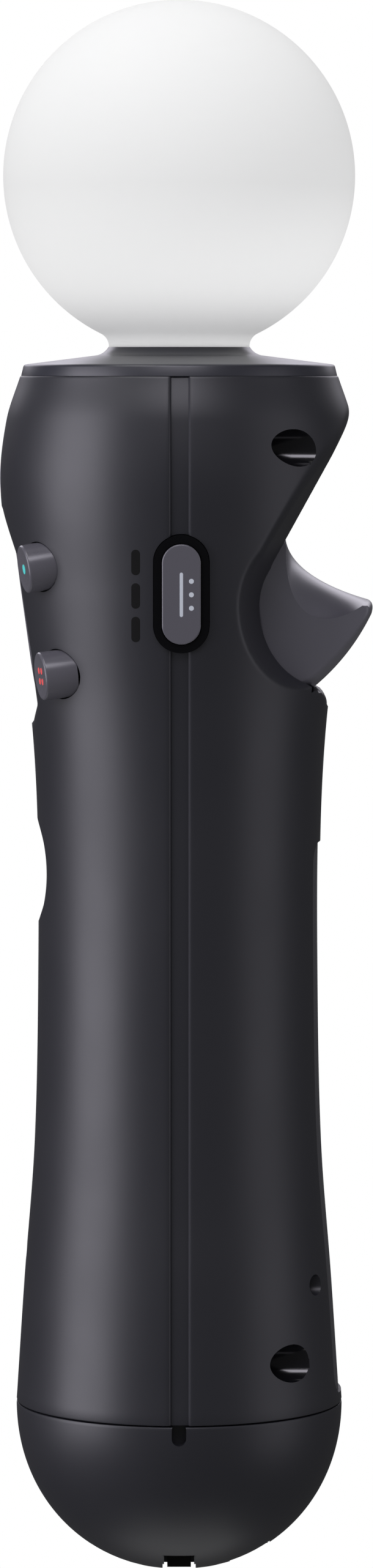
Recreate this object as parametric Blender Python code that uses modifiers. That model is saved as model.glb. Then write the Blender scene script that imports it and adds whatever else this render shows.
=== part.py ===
"""VR motion controller: a hand-held wand with a soft light ball on top.

The wand stands on its own axis: +Z runs up it to the ball, the thumb buttons face -Y and the trigger
faces +Y. The origin is on the axis, at the flat bottom of the end cap.
Sizes are in millimetres; the helpers turn them into metres.
"""

import math

import bmesh
import bpy
from mathutils import Matrix, Vector

MM = 0.001
PART_NAME = "vr_motion_controller"

TOTAL_HEIGHT = 200.0
GAP = 0.35  # clearance between neighbouring pieces
WALL = 2.3  # thickness of the case
TURN_STEPS = 44  # facets round the case
GRIP_ROWS = 18  # facets down it
BUTTON_FACETS = 20

# Light ball, its neck and the collar below it
BALL_RADIUS = 22.57
BALL_WALL = 1.6
BALL_CENTRE = TOTAL_HEIGHT - BALL_RADIUS
NECK_RADIUS = 9.0
NECK_FILLET = 1.8
NECK_JOINT = 155.6
SPIGOT_RADIUS = 7.9
SPIGOT_BOTTOM = 151.0
COLLAR_RIM_RADIUS = 19.5
COLLAR_RIM_TOP = 153.2
COLLAR_RIM_BOTTOM = 152.2
COLLAR_PLUG_BOTTOM = 150.0

# Grip: heights and radii that its smooth outline runs through, from the top down
CASE_TOP = 151.85
CASE_BOTTOM = 21.1
BODY_STATIONS = (
    (151.85, 20.35),
    (146.3, 22.1),
    (138.0, 22.9),
    (125.0, 21.3),
    (110.0, 19.1),
    (95.4, 18.15),
    (75.0, 18.05),
    (54.0, 18.5),
    (36.5, 19.8),
    (21.1, 20.8),
)
SEAM_FRONT = -1.0  # the front case ends here
SEAM_REAR = 1.37  # the rear case's outer skin starts here
TONGUE_FRONT = -0.65  # and its tongue, under the groove, here
GROOVE_DEPTH = 0.4

# End cap: a superellipse dome
CAP_TOP = 20.75
CAP_EQUATOR = 20.95  # the dome starts to curve in here
CAP_RADIUS = 20.8
CAP_HEIGHT = 21.3
CAP_POWER = 2.07
CAP_FLOOR = 5.0
CHANNEL_WIDTH = 4.2
CHANNEL_DEPTH = 1.57
POCKET_IN = 7.5
POCKET_OUT = 12.2
POCKET_TOP = 3.25
SLOT_BOTTOM = 18.6
SLOT_TOP = 21.2
SLOT_HALF_WIDTH = 0.9
SLOT_Y = 0.0

# Front panel, as (y, z) points of the cut that flattens the thumb side
PANEL_TOP = (-22.8, 135.2)
PANEL_UPPER = (-20.7, 129.4)
PANEL_LOWER = (-18.0, 110.1)
PANEL_FOOT = (-18.7, 107.5)
PANEL_TILT = math.atan2(PANEL_LOWER[0] - PANEL_UPPER[0], PANEL_UPPER[1] - PANEL_LOWER[1])

# Trigger bay at the rear
UNDERCUT_TOP = (21.9, 146.45)
UNDERCUT_FOOT = (13.7, 131.6)
SCOOP_CENTRE = (18.95, 122.7)
SCOOP_INNER_RADIUS = 8.8
SCOOP_OUTER_RADIUS = 12.5
SCOOP_REACH = 25.0
BAY_WALL = 1.8
MOUTH_HALF_WIDTH = 9.65
MOUTH_BOTTOM = 110.3
MOUTH_TOP = 131.5
LIP_INSIDE = 17.45
LIP_TOP = 111.8

# Trigger
TRIGGER_HALF_WIDTH = 9.3
TRIGGER_PIVOT = (10.6, 128.6)
HUB_RADIUS = 2.4
PIN_RADIUS = 1.0
PIN_HALF_LENGTH = 11.0
SPRING_HALF_WIDTH = 3.2

# Thumb buttons
ACTION_RADIUS = 3.05
ACTION_X = 13.3
ACTION_UPPER = (-19.6, 127.55, math.radians(9.0))  # y of the face, z, tilt
ACTION_LOWER = (-17.5, 114.1, math.radians(6.5))
ACTION_LENGTH = 5.3
ACTION_SPLAY = math.radians(15.0)  # the columns lean outward with the grip's round front
MOVE_WIDTH = 13.0
MOVE_HEIGHT = 19.0
MOVE_Z = 120.9
MOVE_LENGTH = 5.5
HOME_Z = 88.8
HOME_RADIUS = 4.6
HOME_FACE = -16.5
HOME_LENGTH = 4.8
DISH_RADIUS = 6.4
DISH_FLOOR = -15.6

# Side buttons
SIDE_Z = 124.75
SIDE_Y = 0.3
SIDE_TILT = math.radians(7.9)
SIDE_RADIUS = 21.3  # radius of the grip at SIDE_Z
SIDE_BUTTON = (4.85, 12.65)
SIDE_BEZEL = (6.9, 14.9)

# Case screws: (x, z, bore radius) of the upper and lower pair, all along Y
SCREW_UPPER = (17.1, 142.9, 2.36)
SCREW_LOWER = (14.5, 27.9, 2.37)
SCREW_LEDGE = 6.0
SCREW_TIP = -5.6
SCREW_HEAD = 1.8
SHANK_HOLE = 1.35  # radius of the hole below the ledge
DRIVE_FLOOR = 0.9  # height of the cross recess floor above the ledge
BOSS_RADIUS = 3.4
RESET_X = 9.6
RESET_Z = 37.0
RESET_RADIUS = 1.32

# Rear label
LABEL_HALF_WIDTH = 6.0
LABEL_LOW = 22.3
LABEL_HIGH = 92.6
LABEL_DEPTH = 0.9
LABEL_CORNER = 2.6

# Inside pieces that need a hole or a place shared with others
STATUS_RADIUS = 1.0
STATUS_Z = 40.0
RUMBLE_Y = 5.0
USB_HOLE = ((-4.3, -11.2), (4.3, -6.3))  # lowest and highest (x, y)
EXTENSION_HOLE = ((-5.9, 6.4), (5.9, 11.6))


# ---------------------------------------------------------------- helpers


def clear_scene():
    for thing in list(bpy.data.objects):
        bpy.data.objects.remove(thing, do_unlink=True)


def new_collection(name):
    group = bpy.data.collections.new(name)
    bpy.context.scene.collection.children.link(group)
    return group


clear_scene()
PARTS = new_collection(PART_NAME)
CUTTERS = new_collection("cutters")


def finish_look(thing, colour, roughness=0.5, metallic=0.0):
    """Gives the object its own material and smooth shading."""
    material = bpy.data.materials.new(thing.name + "_material")
    material.use_nodes = True
    shader = material.node_tree.nodes["Principled BSDF"]
    shader.inputs["Base Color"].default_value = (*colour, 1.0)
    shader.inputs["Roughness"].default_value = roughness
    shader.inputs["Metallic"].default_value = metallic
    thing.data.materials.clear()
    thing.data.materials.append(material)
    thing.data.shade_smooth()
    thing.data.set_sharp_from_angle(angle=math.radians(35))


def new_object(name, mesh, group=PARTS, place=None):
    thing = bpy.data.objects.new(name, mesh)
    group.objects.link(thing)
    if place is not None:
        thing.matrix_world = place
    if group is CUTTERS:
        thing.hide_render = True
        thing.display_type = "WIRE"
    return thing


def at(x, y, z, turn=None):
    """A placement at a point in millimetres, turned by a rotation matrix."""
    place = Matrix.Translation(Vector((x, y, z)) * MM)
    return place @ turn.to_4x4() if turn is not None else place


def mesh_of(shape, name):
    mesh = bpy.data.meshes.new(name)
    shape.to_mesh(mesh)
    shape.free()
    return mesh


def box(name, low, high, group=PARTS, place=None):
    """A block between two corners; its origin stays at the frame that place gives."""
    shape = bmesh.new()
    bmesh.ops.create_cube(shape, size=1.0)
    size = [(b - a) * MM for a, b in zip(low, high)]
    middle = [(a + b) / 2 * MM for a, b in zip(low, high)]
    bmesh.ops.scale(shape, vec=size, verts=shape.verts)
    bmesh.ops.translate(shape, vec=middle, verts=shape.verts)
    return new_object(name, mesh_of(shape, name), group, place)


def rod(name, radius, start, end, group=PARTS, place=None, facets=24, end_radius=None):
    """A cylinder, or a cone where end_radius differs, between two points."""
    start, end = Vector(start), Vector(end)
    along = end - start
    turn = Vector((0, 0, 1)).rotation_difference(along).to_matrix().to_4x4()
    place_rod = Matrix.Translation((start + end) / 2 * MM) @ turn
    shape = bmesh.new()
    bmesh.ops.create_cone(
        shape,
        cap_ends=True,
        segments=facets,
        radius1=radius * MM,
        radius2=(radius if end_radius is None else end_radius) * MM,
        depth=along.length * MM,
        matrix=place_rod,
    )
    return new_object(name, mesh_of(shape, name), group, place)


def turned(name, profile, group=PARTS, place=None, steps=TURN_STEPS, ring=False):
    """A profile of (radius, height) points turned about Z; it runs down its outer side."""
    shape = bmesh.new()
    points = [shape.verts.new((r * MM, 0, z * MM)) for r, z in profile]
    for first, second in zip(points, points[1:]):
        shape.edges.new((first, second))
    if ring:
        shape.edges.new((points[-1], points[0]))
    thing = new_object(name, mesh_of(shape, name), group, place)
    screw = thing.modifiers.new("turn", "SCREW")
    screw.steps = screw.render_steps = steps
    screw.use_merge_vertices = True
    screw.merge_threshold = 0.00001
    return thing


def slab(name, outline, low, high, turn, group=PARTS, place=None):
    """A flat outline of (u, v) points made solid from low to high along its normal.

    turn maps the outline's u, v and normal onto the part's axes.
    """
    curve = bpy.data.curves.new(name, "CURVE")
    curve.dimensions = "2D"
    curve.fill_mode = "BOTH"
    curve.extrude = (high - low) / 2 * MM
    spline = curve.splines.new("POLY")
    spline.points.add(len(outline) - 1)
    for point, (u, v) in zip(spline.points, outline):
        point.co = (u * MM, v * MM, 0, 1)
    spline.use_cyclic_u = True
    guide = bpy.data.objects.new(name + "_outline", curve)
    CUTTERS.objects.link(guide)
    bpy.context.view_layer.update()
    seen = guide.evaluated_get(bpy.context.evaluated_depsgraph_get())
    mesh = bpy.data.meshes.new_from_object(seen)
    bpy.data.objects.remove(guide, do_unlink=True)
    shape = bmesh.new()
    shape.from_mesh(mesh)
    bpy.data.meshes.remove(mesh)
    bmesh.ops.remove_doubles(shape, verts=shape.verts, dist=0.000001)
    bmesh.ops.translate(shape, vec=(0, 0, (low + high) / 2 * MM), verts=shape.verts)
    bmesh.ops.transform(shape, matrix=turn.to_4x4(), verts=shape.verts)
    bmesh.ops.recalc_face_normals(shape, faces=shape.faces)
    return new_object(name, mesh_of(shape, name), group, place)


# Outline u and v onto the part's axes: side views run (y, z), front views run (x, z)
SIDE_VIEW = Matrix(((0, 0, 1), (1, 0, 0), (0, 1, 0)))  # u -> Y, v -> Z, normal -> X
FRONT_VIEW = Matrix(((1, 0, 0), (0, 0, -1), (0, 1, 0)))  # u -> X, v -> Z, normal -> -Y
TOP_VIEW = Matrix.Identity(3)


def combine(target, other, operation="DIFFERENCE"):
    boolean = target.modifiers.new(other.name, "BOOLEAN")
    boolean.operation = operation
    boolean.solver = "EXACT"
    boolean.object = other


def round_edges(thing, width, segments=2, angle=35.0):
    bevel = thing.modifiers.new("bevel", "BEVEL")
    bevel.width = width * MM
    bevel.segments = segments
    bevel.limit_method = "ANGLE"
    bevel.angle_limit = math.radians(angle)
    bevel.harden_normals = False


def arc(centre, radius, start, end, count):
    """Points on a circle from one angle to another, in degrees."""
    angles = [math.radians(start + (end - start) * i / count) for i in range(count + 1)]
    return [(centre[0] + radius * math.cos(a), centre[1] + radius * math.sin(a)) for a in angles]


def bowed(start, end, rise, count=4):
    """Points from start to end along an arc that stands off the chord by rise, to its left."""
    (y0, z0), (y1, z1) = start, end
    long = math.hypot(y1 - y0, z1 - z0)
    across = (-(z1 - z0) / long, (y1 - y0) / long)
    points = []
    for i in range(count + 1):
        t = i / count
        lift = 4 * rise * t * (1 - t)
        points.append((y0 + (y1 - y0) * t + across[0] * lift, z0 + (z1 - z0) * t + across[1] * lift))
    return points


def rounded(width, height, radius, count=5):
    """A rectangle with round corners, about the middle."""
    u, v = width / 2 - radius, height / 2 - radius
    corners = ((u, v, 0), (-u, v, 90), (-u, -v, 180), (u, -v, 270))
    return [p for a, b, turn in corners for p in arc((a, b), radius, turn, turn + 90, count)]


def shifted(outline, du, dv):
    return [(u + du, v + dv) for u, v in outline]


def body_radius(height):
    """Radius of the grip at a height: a smooth curve through BODY_STATIONS."""
    stations = BODY_STATIONS
    height = min(max(height, stations[-1][0]), stations[0][0])
    slopes = []
    for i in range(len(stations)):
        above = stations[max(i - 1, 0)]
        below = stations[min(i + 1, len(stations) - 1)]
        slopes.append((below[1] - above[1]) / (below[0] - above[0]))
    for i in range(len(stations) - 1):
        (z0, r0), (z1, r1) = stations[i], stations[i + 1]
        if height >= z1:
            span = z1 - z0
            t = (height - z0) / span
            return (
                (2 * t**3 - 3 * t**2 + 1) * r0
                + (t**3 - 2 * t**2 + t) * span * slopes[i]
                + (3 * t**2 - 2 * t**3) * r1
                + (t**3 - t**2) * span * slopes[i + 1]
            )
    return stations[-1][1]


def body_profile(inset, top, bottom, count):
    heights = [top + (bottom - top) * i / count for i in range(count + 1)]
    return [(body_radius(z) - inset, z) for z in heights]


def cap_radius(height):
    """Radius of the end cap's dome at a height."""
    reach = min(max((CAP_EQUATOR - height) / CAP_HEIGHT, 0.0), 1.0)
    return CAP_RADIUS * (1 - reach**CAP_POWER) ** (1 / CAP_POWER)


# ---------------------------------------------------------------- frames that pieces and their holes share

FACING_FRONT = Matrix.Rotation(math.radians(90), 3, "X")  # turned pieces point at -Y
DARK = (0.022, 0.022, 0.027)
KEY_GREY = (0.05, 0.05, 0.058)


def action_place(side, station):
    face, height, tilt = station
    lean = Matrix.Rotation(side * ACTION_SPLAY, 3, "Z") @ Matrix.Rotation(tilt, 3, "X")
    return at(side * ACTION_X, face, height, lean @ FACING_FRONT)


def move_place():
    share = (MOVE_Z - PANEL_LOWER[1]) / (PANEL_UPPER[1] - PANEL_LOWER[1])
    face = PANEL_LOWER[0] + share * (PANEL_UPPER[0] - PANEL_LOWER[0])
    return at(0, face, MOVE_Z, Matrix.Rotation(PANEL_TILT, 3, "X") @ FRONT_VIEW)


def side_place(side):
    turn = Matrix.Rotation(SIDE_TILT, 3, "Y") @ SIDE_VIEW
    if side < 0:
        turn = Matrix.Rotation(math.pi, 3, "Z") @ turn
    return at(side * SIDE_RADIUS, SIDE_Y, SIDE_Z, turn)


def capsule(size, extra=0.0):
    width, height = size[0] + extra, size[1] + extra
    return rounded(width, height, width / 2 - 0.01, 7)


def grip_solid(name, inset, group=CUTTERS):
    profile = body_profile(inset, CASE_TOP, CASE_BOTTOM, GRIP_ROWS)
    return turned(name, [(0, CASE_TOP)] + profile + [(0, CASE_BOTTOM)], group)


def hourglass(name, grow):
    """The trigger bay's round scoop: narrow in the middle, wide at the sides, along X."""
    inner, outer = SCOOP_INNER_RADIUS + grow, SCOOP_OUTER_RADIUS + grow
    half = MOUTH_HALF_WIDTH
    profile = [(0, SCOOP_REACH), (outer, SCOOP_REACH), (inner, half)]
    profile += [(inner, -half), (outer, -SCOOP_REACH), (0, -SCOOP_REACH)]
    place = at(0, *SCOOP_CENTRE, Matrix.Rotation(math.radians(90), 3, "Y"))
    return turned(name, profile, CUTTERS, place, steps=40)


def undercut(name, shift):
    """Everything behind the slanted face above the trigger, moved inwards by shift."""
    (y0, z0), (y1, z1) = UNDERCUT_FOOT, UNDERCUT_TOP
    long = math.hypot(y1 - y0, z1 - z0)
    across = (-(z1 - z0) / long * shift, (y1 - y0) / long * shift)
    outline = [(y0, z0), (15.0, 125.0), (34.0, 125.0), (34.0, z1), (y1, z1)]
    return slab(name, shifted(outline, *across), -30, 30, SIDE_VIEW, CUTTERS)


def case_cavity():
    """The room inside the case, less the bosses and walls that stand in it."""
    radius_top = body_radius(CASE_TOP) - WALL
    radius_foot = body_radius(CASE_BOTTOM) - WALL
    profile = [(0, 158), (radius_top, 158)] + body_profile(WALL, CASE_TOP, CASE_BOTTOM, 12)
    cavity = turned("cavity", profile + [(radius_foot, 15), (0, 15)], CUTTERS)
    walls = [hourglass("scoop_wall", BAY_WALL), undercut("undercut_wall", BAY_WALL)]
    walls.append(rod("home_boss", DISH_RADIUS + 1.2, (0, -25, HOME_Z), (0, -13.9, HOME_Z), CUTTERS))
    for side in (-1, 1):
        for x, z, _ in (SCREW_UPPER, SCREW_LOWER):
            walls.append(rod("boss", BOSS_RADIUS, (side * x, -8, z), (side * x, 30, z), CUTTERS))
        y, z = TRIGGER_PIVOT
        low, high = sorted((side * (MOUTH_HALF_WIDTH + 0.3), side * (PIN_HALF_LENGTH + 1.4)))
        walls.append(box("ear", (low, y - 2.8, z - 2.6), (high, y + 5.0, z + 2.6), CUTTERS))
    for wall in walls:
        combine(cavity, wall)
    return cavity


def screw_holes():
    """Bores from the rear down to a ledge, and the narrower holes below them."""
    holes = []
    for side in (-1, 1):
        for x, z, radius in (SCREW_UPPER, SCREW_LOWER):
            ledge, tip = (side * x, SCREW_LEDGE, z), (side * x, SCREW_TIP - 1, z)
            holes.append(rod("bore", radius, ledge, (side * x, 30, z), CUTTERS, facets=32))
            holes.append(rod("shank", SHANK_HOLE, tip, (side * x, 7, z), CUTTERS, facets=16))
    return holes


def side_openings():
    openings = []
    for side in (-1, 1):
        outline = capsule(SIDE_BEZEL, 2 * GAP)
        openings.append(slab("side_opening", outline, -6, 6, TOP_VIEW, CUTTERS, side_place(side)))
    return openings


# ---------------------------------------------------------------- case


def make_front_case(cavity, shared):
    case = grip_solid("front_case", 0, PARTS)
    combine(case, cavity)
    combine(case, box("front_keep", (-40, SEAM_FRONT, 0), (40, 40, 170), CUTTERS))
    panel = [(-34, PANEL_TOP[1]), PANEL_TOP, PANEL_UPPER, PANEL_LOWER, PANEL_FOOT, (-34, PANEL_FOOT[1])]
    combine(case, slab("panel", panel, -30, 30, SIDE_VIEW, CUTTERS))
    dish = [(0, 30), (DISH_RADIUS, 30), (DISH_RADIUS, -DISH_FLOOR + 0.9)]
    dish += [(DISH_RADIUS - 1.0, -DISH_FLOOR + 0.15), (0, -DISH_FLOOR)]
    combine(case, turned("dish", dish, CUTTERS, at(0, 0, HOME_Z, FACING_FRONT), steps=40))
    radius = HOME_RADIUS + GAP
    combine(case, rod("home_hole", radius, (0, -30, HOME_Z), (0, -8, HOME_Z), CUTTERS, facets=32))
    for side in (-1, 1):
        for station in (ACTION_UPPER, ACTION_LOWER):
            place = action_place(side, station)
            radius = ACTION_RADIUS + GAP
            combine(case, rod("key_hole", radius, (0, 0, -12), (0, 0, 6), CUTTERS, place, BUTTON_FACETS))
    hole = rounded(MOVE_WIDTH + 2 * GAP, MOVE_HEIGHT + 2 * GAP, 5.5 + GAP)
    combine(case, slab("move_hole", hole, -12, 6, TOP_VIEW, CUTTERS, move_place()))
    radius = STATUS_RADIUS + 0.3
    combine(case, rod("status_hole", radius, (0, -30, STATUS_Z), (0, -10, STATUS_Z), CUTTERS, facets=16))
    for cutter in shared:
        combine(case, cutter)
    finish_look(case, DARK, 0.42)


def make_rear_case(cavity, shared):
    case = grip_solid("rear_case", 0, PARTS)
    combine(case, cavity)
    combine(case, box("rear_keep", (-40, -40, 0), (40, TONGUE_FRONT, 170), CUTTERS))
    groove = box("groove", (-40, -20, 0), (40, SEAM_REAR, 170), CUTTERS)
    combine(groove, grip_solid("under_groove", GROOVE_DEPTH))
    combine(case, groove)
    combine(case, undercut("undercut", 0.0))
    combine(case, hourglass("scoop", 0.0))
    mouth = [(5, MOUTH_BOTTOM), (LIP_INSIDE, MOUTH_BOTTOM), (LIP_INSIDE, LIP_TOP), (18.8, 109.95)]
    mouth += [(32, 109.95), (32, MOUTH_TOP), (5, MOUTH_TOP)]
    combine(case, slab("mouth", mouth, -MOUTH_HALF_WIDTH, MOUTH_HALF_WIDTH, SIDE_VIEW, CUTTERS))
    y, z = TRIGGER_PIVOT
    reach = PIN_HALF_LENGTH + 0.3
    combine(case, rod("pin_hole", PIN_RADIUS + 0.3, (-reach, y, z), (reach, y, z), CUTTERS, facets=16))
    recess = label_outline("label_recess", 0.0, CUTTERS)
    combine(recess, grip_solid("recess_floor", LABEL_DEPTH))
    combine(case, recess)
    start, end = (RESET_X, 8, RESET_Z), (RESET_X, 30, RESET_Z)
    combine(case, rod("reset_hole", RESET_RADIUS, start, end, CUTTERS, facets=20))
    for cutter in shared:
        combine(case, cutter)
    finish_look(case, DARK, 0.42)


def label_outline(name, shrink, group):
    width = 2 * (LABEL_HALF_WIDTH - shrink)
    height = LABEL_HIGH - LABEL_LOW - 2 * shrink
    outline = shifted(rounded(width, height, LABEL_CORNER - shrink), 0, (LABEL_HIGH + LABEL_LOW) / 2)
    return slab(name, outline, -34, -5, FRONT_VIEW, group)


def make_rear_label_plate():
    plate = label_outline("rear_label_plate", GAP, PARTS)
    combine(plate, grip_solid("label_back", LABEL_DEPTH - 0.3))
    combine(plate, grip_solid("label_face", LABEL_DEPTH - 0.57), "INTERSECT")
    finish_look(plate, (0.035, 0.035, 0.04), 0.5)


def make_end_cap():
    rows = 11
    inner = [(0, CAP_FLOOR), (11.0, CAP_FLOOR)]
    inner += [(cap_radius(z) - 2.2, z) for z in (6.5, 9.0, 12.0, 15.0, 18.0)]
    spigot = [(16.2, 19.5), (16.2, 22.4), (18.0, 22.4), (18.0, CAP_TOP)]
    heights = [CAP_TOP * math.cos(math.pi / 2 * i / rows) for i in range(rows)] + [0.0]
    outer = [(cap_radius(z), z) for z in heights]
    cap = turned("end_cap", inner + spigot + outer + [(0, 0)])
    half = CHANNEL_WIDTH / 2
    combine(cap, box("channel", (-30, -half, -2), (30, half, CHANNEL_DEPTH), CUTTERS))
    outline = rounded(2 * SLOT_HALF_WIDTH, SLOT_TOP - SLOT_BOTTOM, SLOT_HALF_WIDTH - 0.01)
    outline = shifted(outline, SLOT_Y, (SLOT_TOP + SLOT_BOTTOM) / 2)
    for side in (-1, 1):
        low, high = sorted((side * POCKET_IN, side * POCKET_OUT))
        combine(cap, box("pocket", (low, -1.9, -2), (high, 1.9, POCKET_TOP), CUTTERS))
        low, high = sorted((side * 19.0, side * 25))
        combine(cap, slab("slot", outline, low, high, SIDE_VIEW, CUTTERS))
    for low, high in (USB_HOLE, EXTENSION_HOLE):
        combine(cap, box("port_hole", (*low, -2), (*high, 19), CUTTERS))
    finish_look(cap, DARK, 0.42)


def make_screws():
    for pair, (x, z, _) in (("upper", SCREW_UPPER), ("lower", SCREW_LOWER)):
        for side, hand in ((-1, "left"), (1, "right")):
            base = SCREW_LEDGE + GAP
            top = base + SCREW_HEAD
            profile = [(0, top), (1.6, top), (2.0, top - 0.4), (2.0, base), (1.0, base)]
            profile += [(1.0, SCREW_TIP + 0.8), (0.5, SCREW_TIP), (0, SCREW_TIP)]
            place = at(side * x, 0, z, Matrix.Rotation(math.radians(-90), 3, "X"))
            screw = turned(f"case_screw_{pair}_{hand}", profile, PARTS, place, steps=14)
            for u, v in ((1.1, 0.25), (0.25, 1.1)):
                low, high = (-u, -v, base + DRIVE_FLOOR), (u, v, base + 4)
                combine(screw, box("drive", low, high, CUTTERS, place))
            finish_look(screw, (0.35, 0.35, 0.37), 0.35, 1.0)


# ---------------------------------------------------------------- light ball


def make_light_sphere():
    reach = BALL_RADIUS + NECK_FILLET
    drop = math.sqrt(reach**2 - (NECK_RADIUS + NECK_FILLET) ** 2)
    meet = math.degrees(math.acos((NECK_RADIUS + NECK_FILLET) / reach))
    outer = arc((0, BALL_CENTRE), BALL_RADIUS, 90, -meet, 16)
    outer[0] = (0, TOTAL_HEIGHT)
    fillet = arc((NECK_RADIUS + NECK_FILLET, BALL_CENTRE - drop), NECK_FILLET, 180 - meet, 180, 3)
    neck = [(NECK_RADIUS, NECK_JOINT), (SPIGOT_RADIUS, NECK_JOINT), (SPIGOT_RADIUS, SPIGOT_BOTTOM)]
    bore = SPIGOT_RADIUS - BALL_WALL
    inside = BALL_RADIUS - BALL_WALL
    mouth = math.degrees(math.acos(bore / inside))
    inner = [(bore, SPIGOT_BOTTOM)] + arc((0, BALL_CENTRE), inside, -mouth, 90, 9)
    inner[-1] = (0, BALL_CENTRE + inside)
    ball = turned("light_sphere", outer + fillet[1:] + neck + inner, steps=36)
    finish_look(ball, (0.9, 0.9, 0.9), 0.55)


def make_collar():
    top = NECK_JOINT - 0.3
    profile = [(SPIGOT_RADIUS + 0.3, top), (NECK_RADIUS, top)]
    profile += bowed((NECK_RADIUS, top), (11.6, 154.75), -0.28, 3)[1:]
    profile += [(COLLAR_RIM_RADIUS - 0.3, COLLAR_RIM_TOP + 0.1), (COLLAR_RIM_RADIUS, COLLAR_RIM_TOP)]
    profile += [(19.95, COLLAR_RIM_BOTTOM), (17.2, COLLAR_RIM_BOTTOM), (17.2, COLLAR_PLUG_BOTTOM)]
    profile += [(SPIGOT_RADIUS + 0.3, COLLAR_PLUG_BOTTOM)]
    finish_look(turned("sphere_collar", profile, ring=True), DARK, 0.3)


def make_light_engine():
    board = rod("led_board", 12.0, (0, 0, 148.2), (0, 0, 149.4), facets=40)
    finish_look(board, (0.02, 0.12, 0.05), 0.5)
    emitter = box("led_emitter", (-1.75, -1.75, 149.7), (1.75, 1.75, 151.1))
    round_edges(emitter, 0.3)
    finish_look(emitter, (0.9, 0.85, 0.6), 0.4)
    outer = [(0, 157.4), (2.8, 156.9), (4.8, 155.4), (5.6, 153.2), (5.6, 149.75)]
    inner = [(4.8, 149.75), (4.8, 153.0), (4.1, 154.8), (2.4, 156.1), (0, 156.5)]
    finish_look(turned("light_diffuser", outer + inner, steps=20), (0.85, 0.85, 0.85), 0.4)


# ---------------------------------------------------------------- buttons


def button_profile(radius, dome, length):
    """A domed key with a small round edge, its face at height 0."""
    flat = radius - 0.35
    face = [(flat * i / 4, -dome * (i / 4) ** 2) for i in range(5)]
    return face + [(radius - 0.08, -dome - 0.12), (radius, -dome - 0.4), (radius, -length), (0, -length)]


def make_action_buttons():
    for name, side, station, length in (
        ("action_button_upper_right", 1, ACTION_UPPER, ACTION_LENGTH),
        ("action_button_upper_left", -1, ACTION_UPPER, ACTION_LENGTH),
        ("action_button_lower_right", 1, ACTION_LOWER, ACTION_LENGTH - 1.1),
        ("action_button_lower_left", -1, ACTION_LOWER, ACTION_LENGTH - 1.1),
    ):
        profile = button_profile(ACTION_RADIUS, 0.35, length)
        key = turned(name, profile, PARTS, action_place(side, station), steps=BUTTON_FACETS)
        finish_look(key, KEY_GREY, 0.35)


def make_middle_buttons():
    outline = rounded(MOVE_WIDTH, MOVE_HEIGHT, 5.5, 6)
    key = slab("move_button", outline, -MOVE_LENGTH, 0.05, TOP_VIEW, PARTS, move_place())
    round_edges(key, 0.7, 3)
    finish_look(key, KEY_GREY, 0.35)
    place = at(0, HOME_FACE, HOME_Z, FACING_FRONT)
    key = turned("home_button", button_profile(HOME_RADIUS, 0.3, HOME_LENGTH), PARTS, place, steps=24)
    finish_look(key, KEY_GREY, 0.3)


def make_side_buttons():
    for name, side in (("start", 1), ("select", -1)):
        place = side_place(side)
        bezel = slab(f"{name}_bezel", capsule(SIDE_BEZEL), -2.2, 0.1, TOP_VIEW, PARTS, place)
        hole = slab("bezel_hole", capsule(SIDE_BUTTON, 2 * GAP), -4, 4, TOP_VIEW, CUTTERS, place)
        combine(bezel, hole)
        finish_look(bezel, (0.008, 0.008, 0.009), 0.3)
        key = slab(f"{name}_button", capsule(SIDE_BUTTON), -3.4, 0.45, TOP_VIEW, PARTS, place)
        round_edges(key, 0.5, 2)
        finish_look(key, KEY_GREY, 0.35)
        low, high = sorted((side * 13.8, side * 16.2))
        foot = (low, SIDE_Y - 2.5, SIDE_Z - 3.3)
        switch = box(f"{name}_switch", foot, (high, SIDE_Y + 2.5, SIDE_Z + 3.3))
        finish_look(switch, (0.3, 0.3, 0.32), 0.4, 0.6)


def make_reset():
    place = at(RESET_X, 15.6, RESET_Z, Matrix.Rotation(math.radians(-90), 3, "X"))
    key = turned("reset_button", button_profile(0.98, 0.1, 3.6), PARTS, place, steps=16)
    finish_look(key, KEY_GREY, 0.4)
    switch = box("reset_switch", (RESET_X - 2, 9.6, RESET_Z - 2), (RESET_X + 2, 11.3, RESET_Z + 1.7))
    finish_look(switch, (0.3, 0.3, 0.32), 0.4, 0.6)


# ---------------------------------------------------------------- trigger


def curve_through(start, bend, end, count):
    """A smooth curve from start to end that leans towards the point bend."""
    points = []
    for i in range(count + 1):
        t = i / count
        weights = ((1 - t) ** 2, 2 * t * (1 - t), t * t)
        corners = zip(start, bend, end)
        points.append(tuple(sum(w * c for w, c in zip(weights, trio)) for trio in corners))
    return points


def trigger_outline():
    finger = curve_through((13.7, 131.2), (14.3, 126.2), (24.3, 123.3), 9)
    tip = [(24.66, 123.05), (24.76, 122.5), (24.55, 121.8)]
    belly = curve_through((24.35, 121.3), (22.0, 116.1), (17.3, 112.1), 6)
    inside = [(14.6, 112.5), (11.6, 115.2), (10.2, 118.6), (9.6, 122.5), (8.9, 126.7)]
    hub = arc(TRIGGER_PIVOT, HUB_RADIUS, 215, 90, 7)
    return finger + tip + belly + inside + hub


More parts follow.
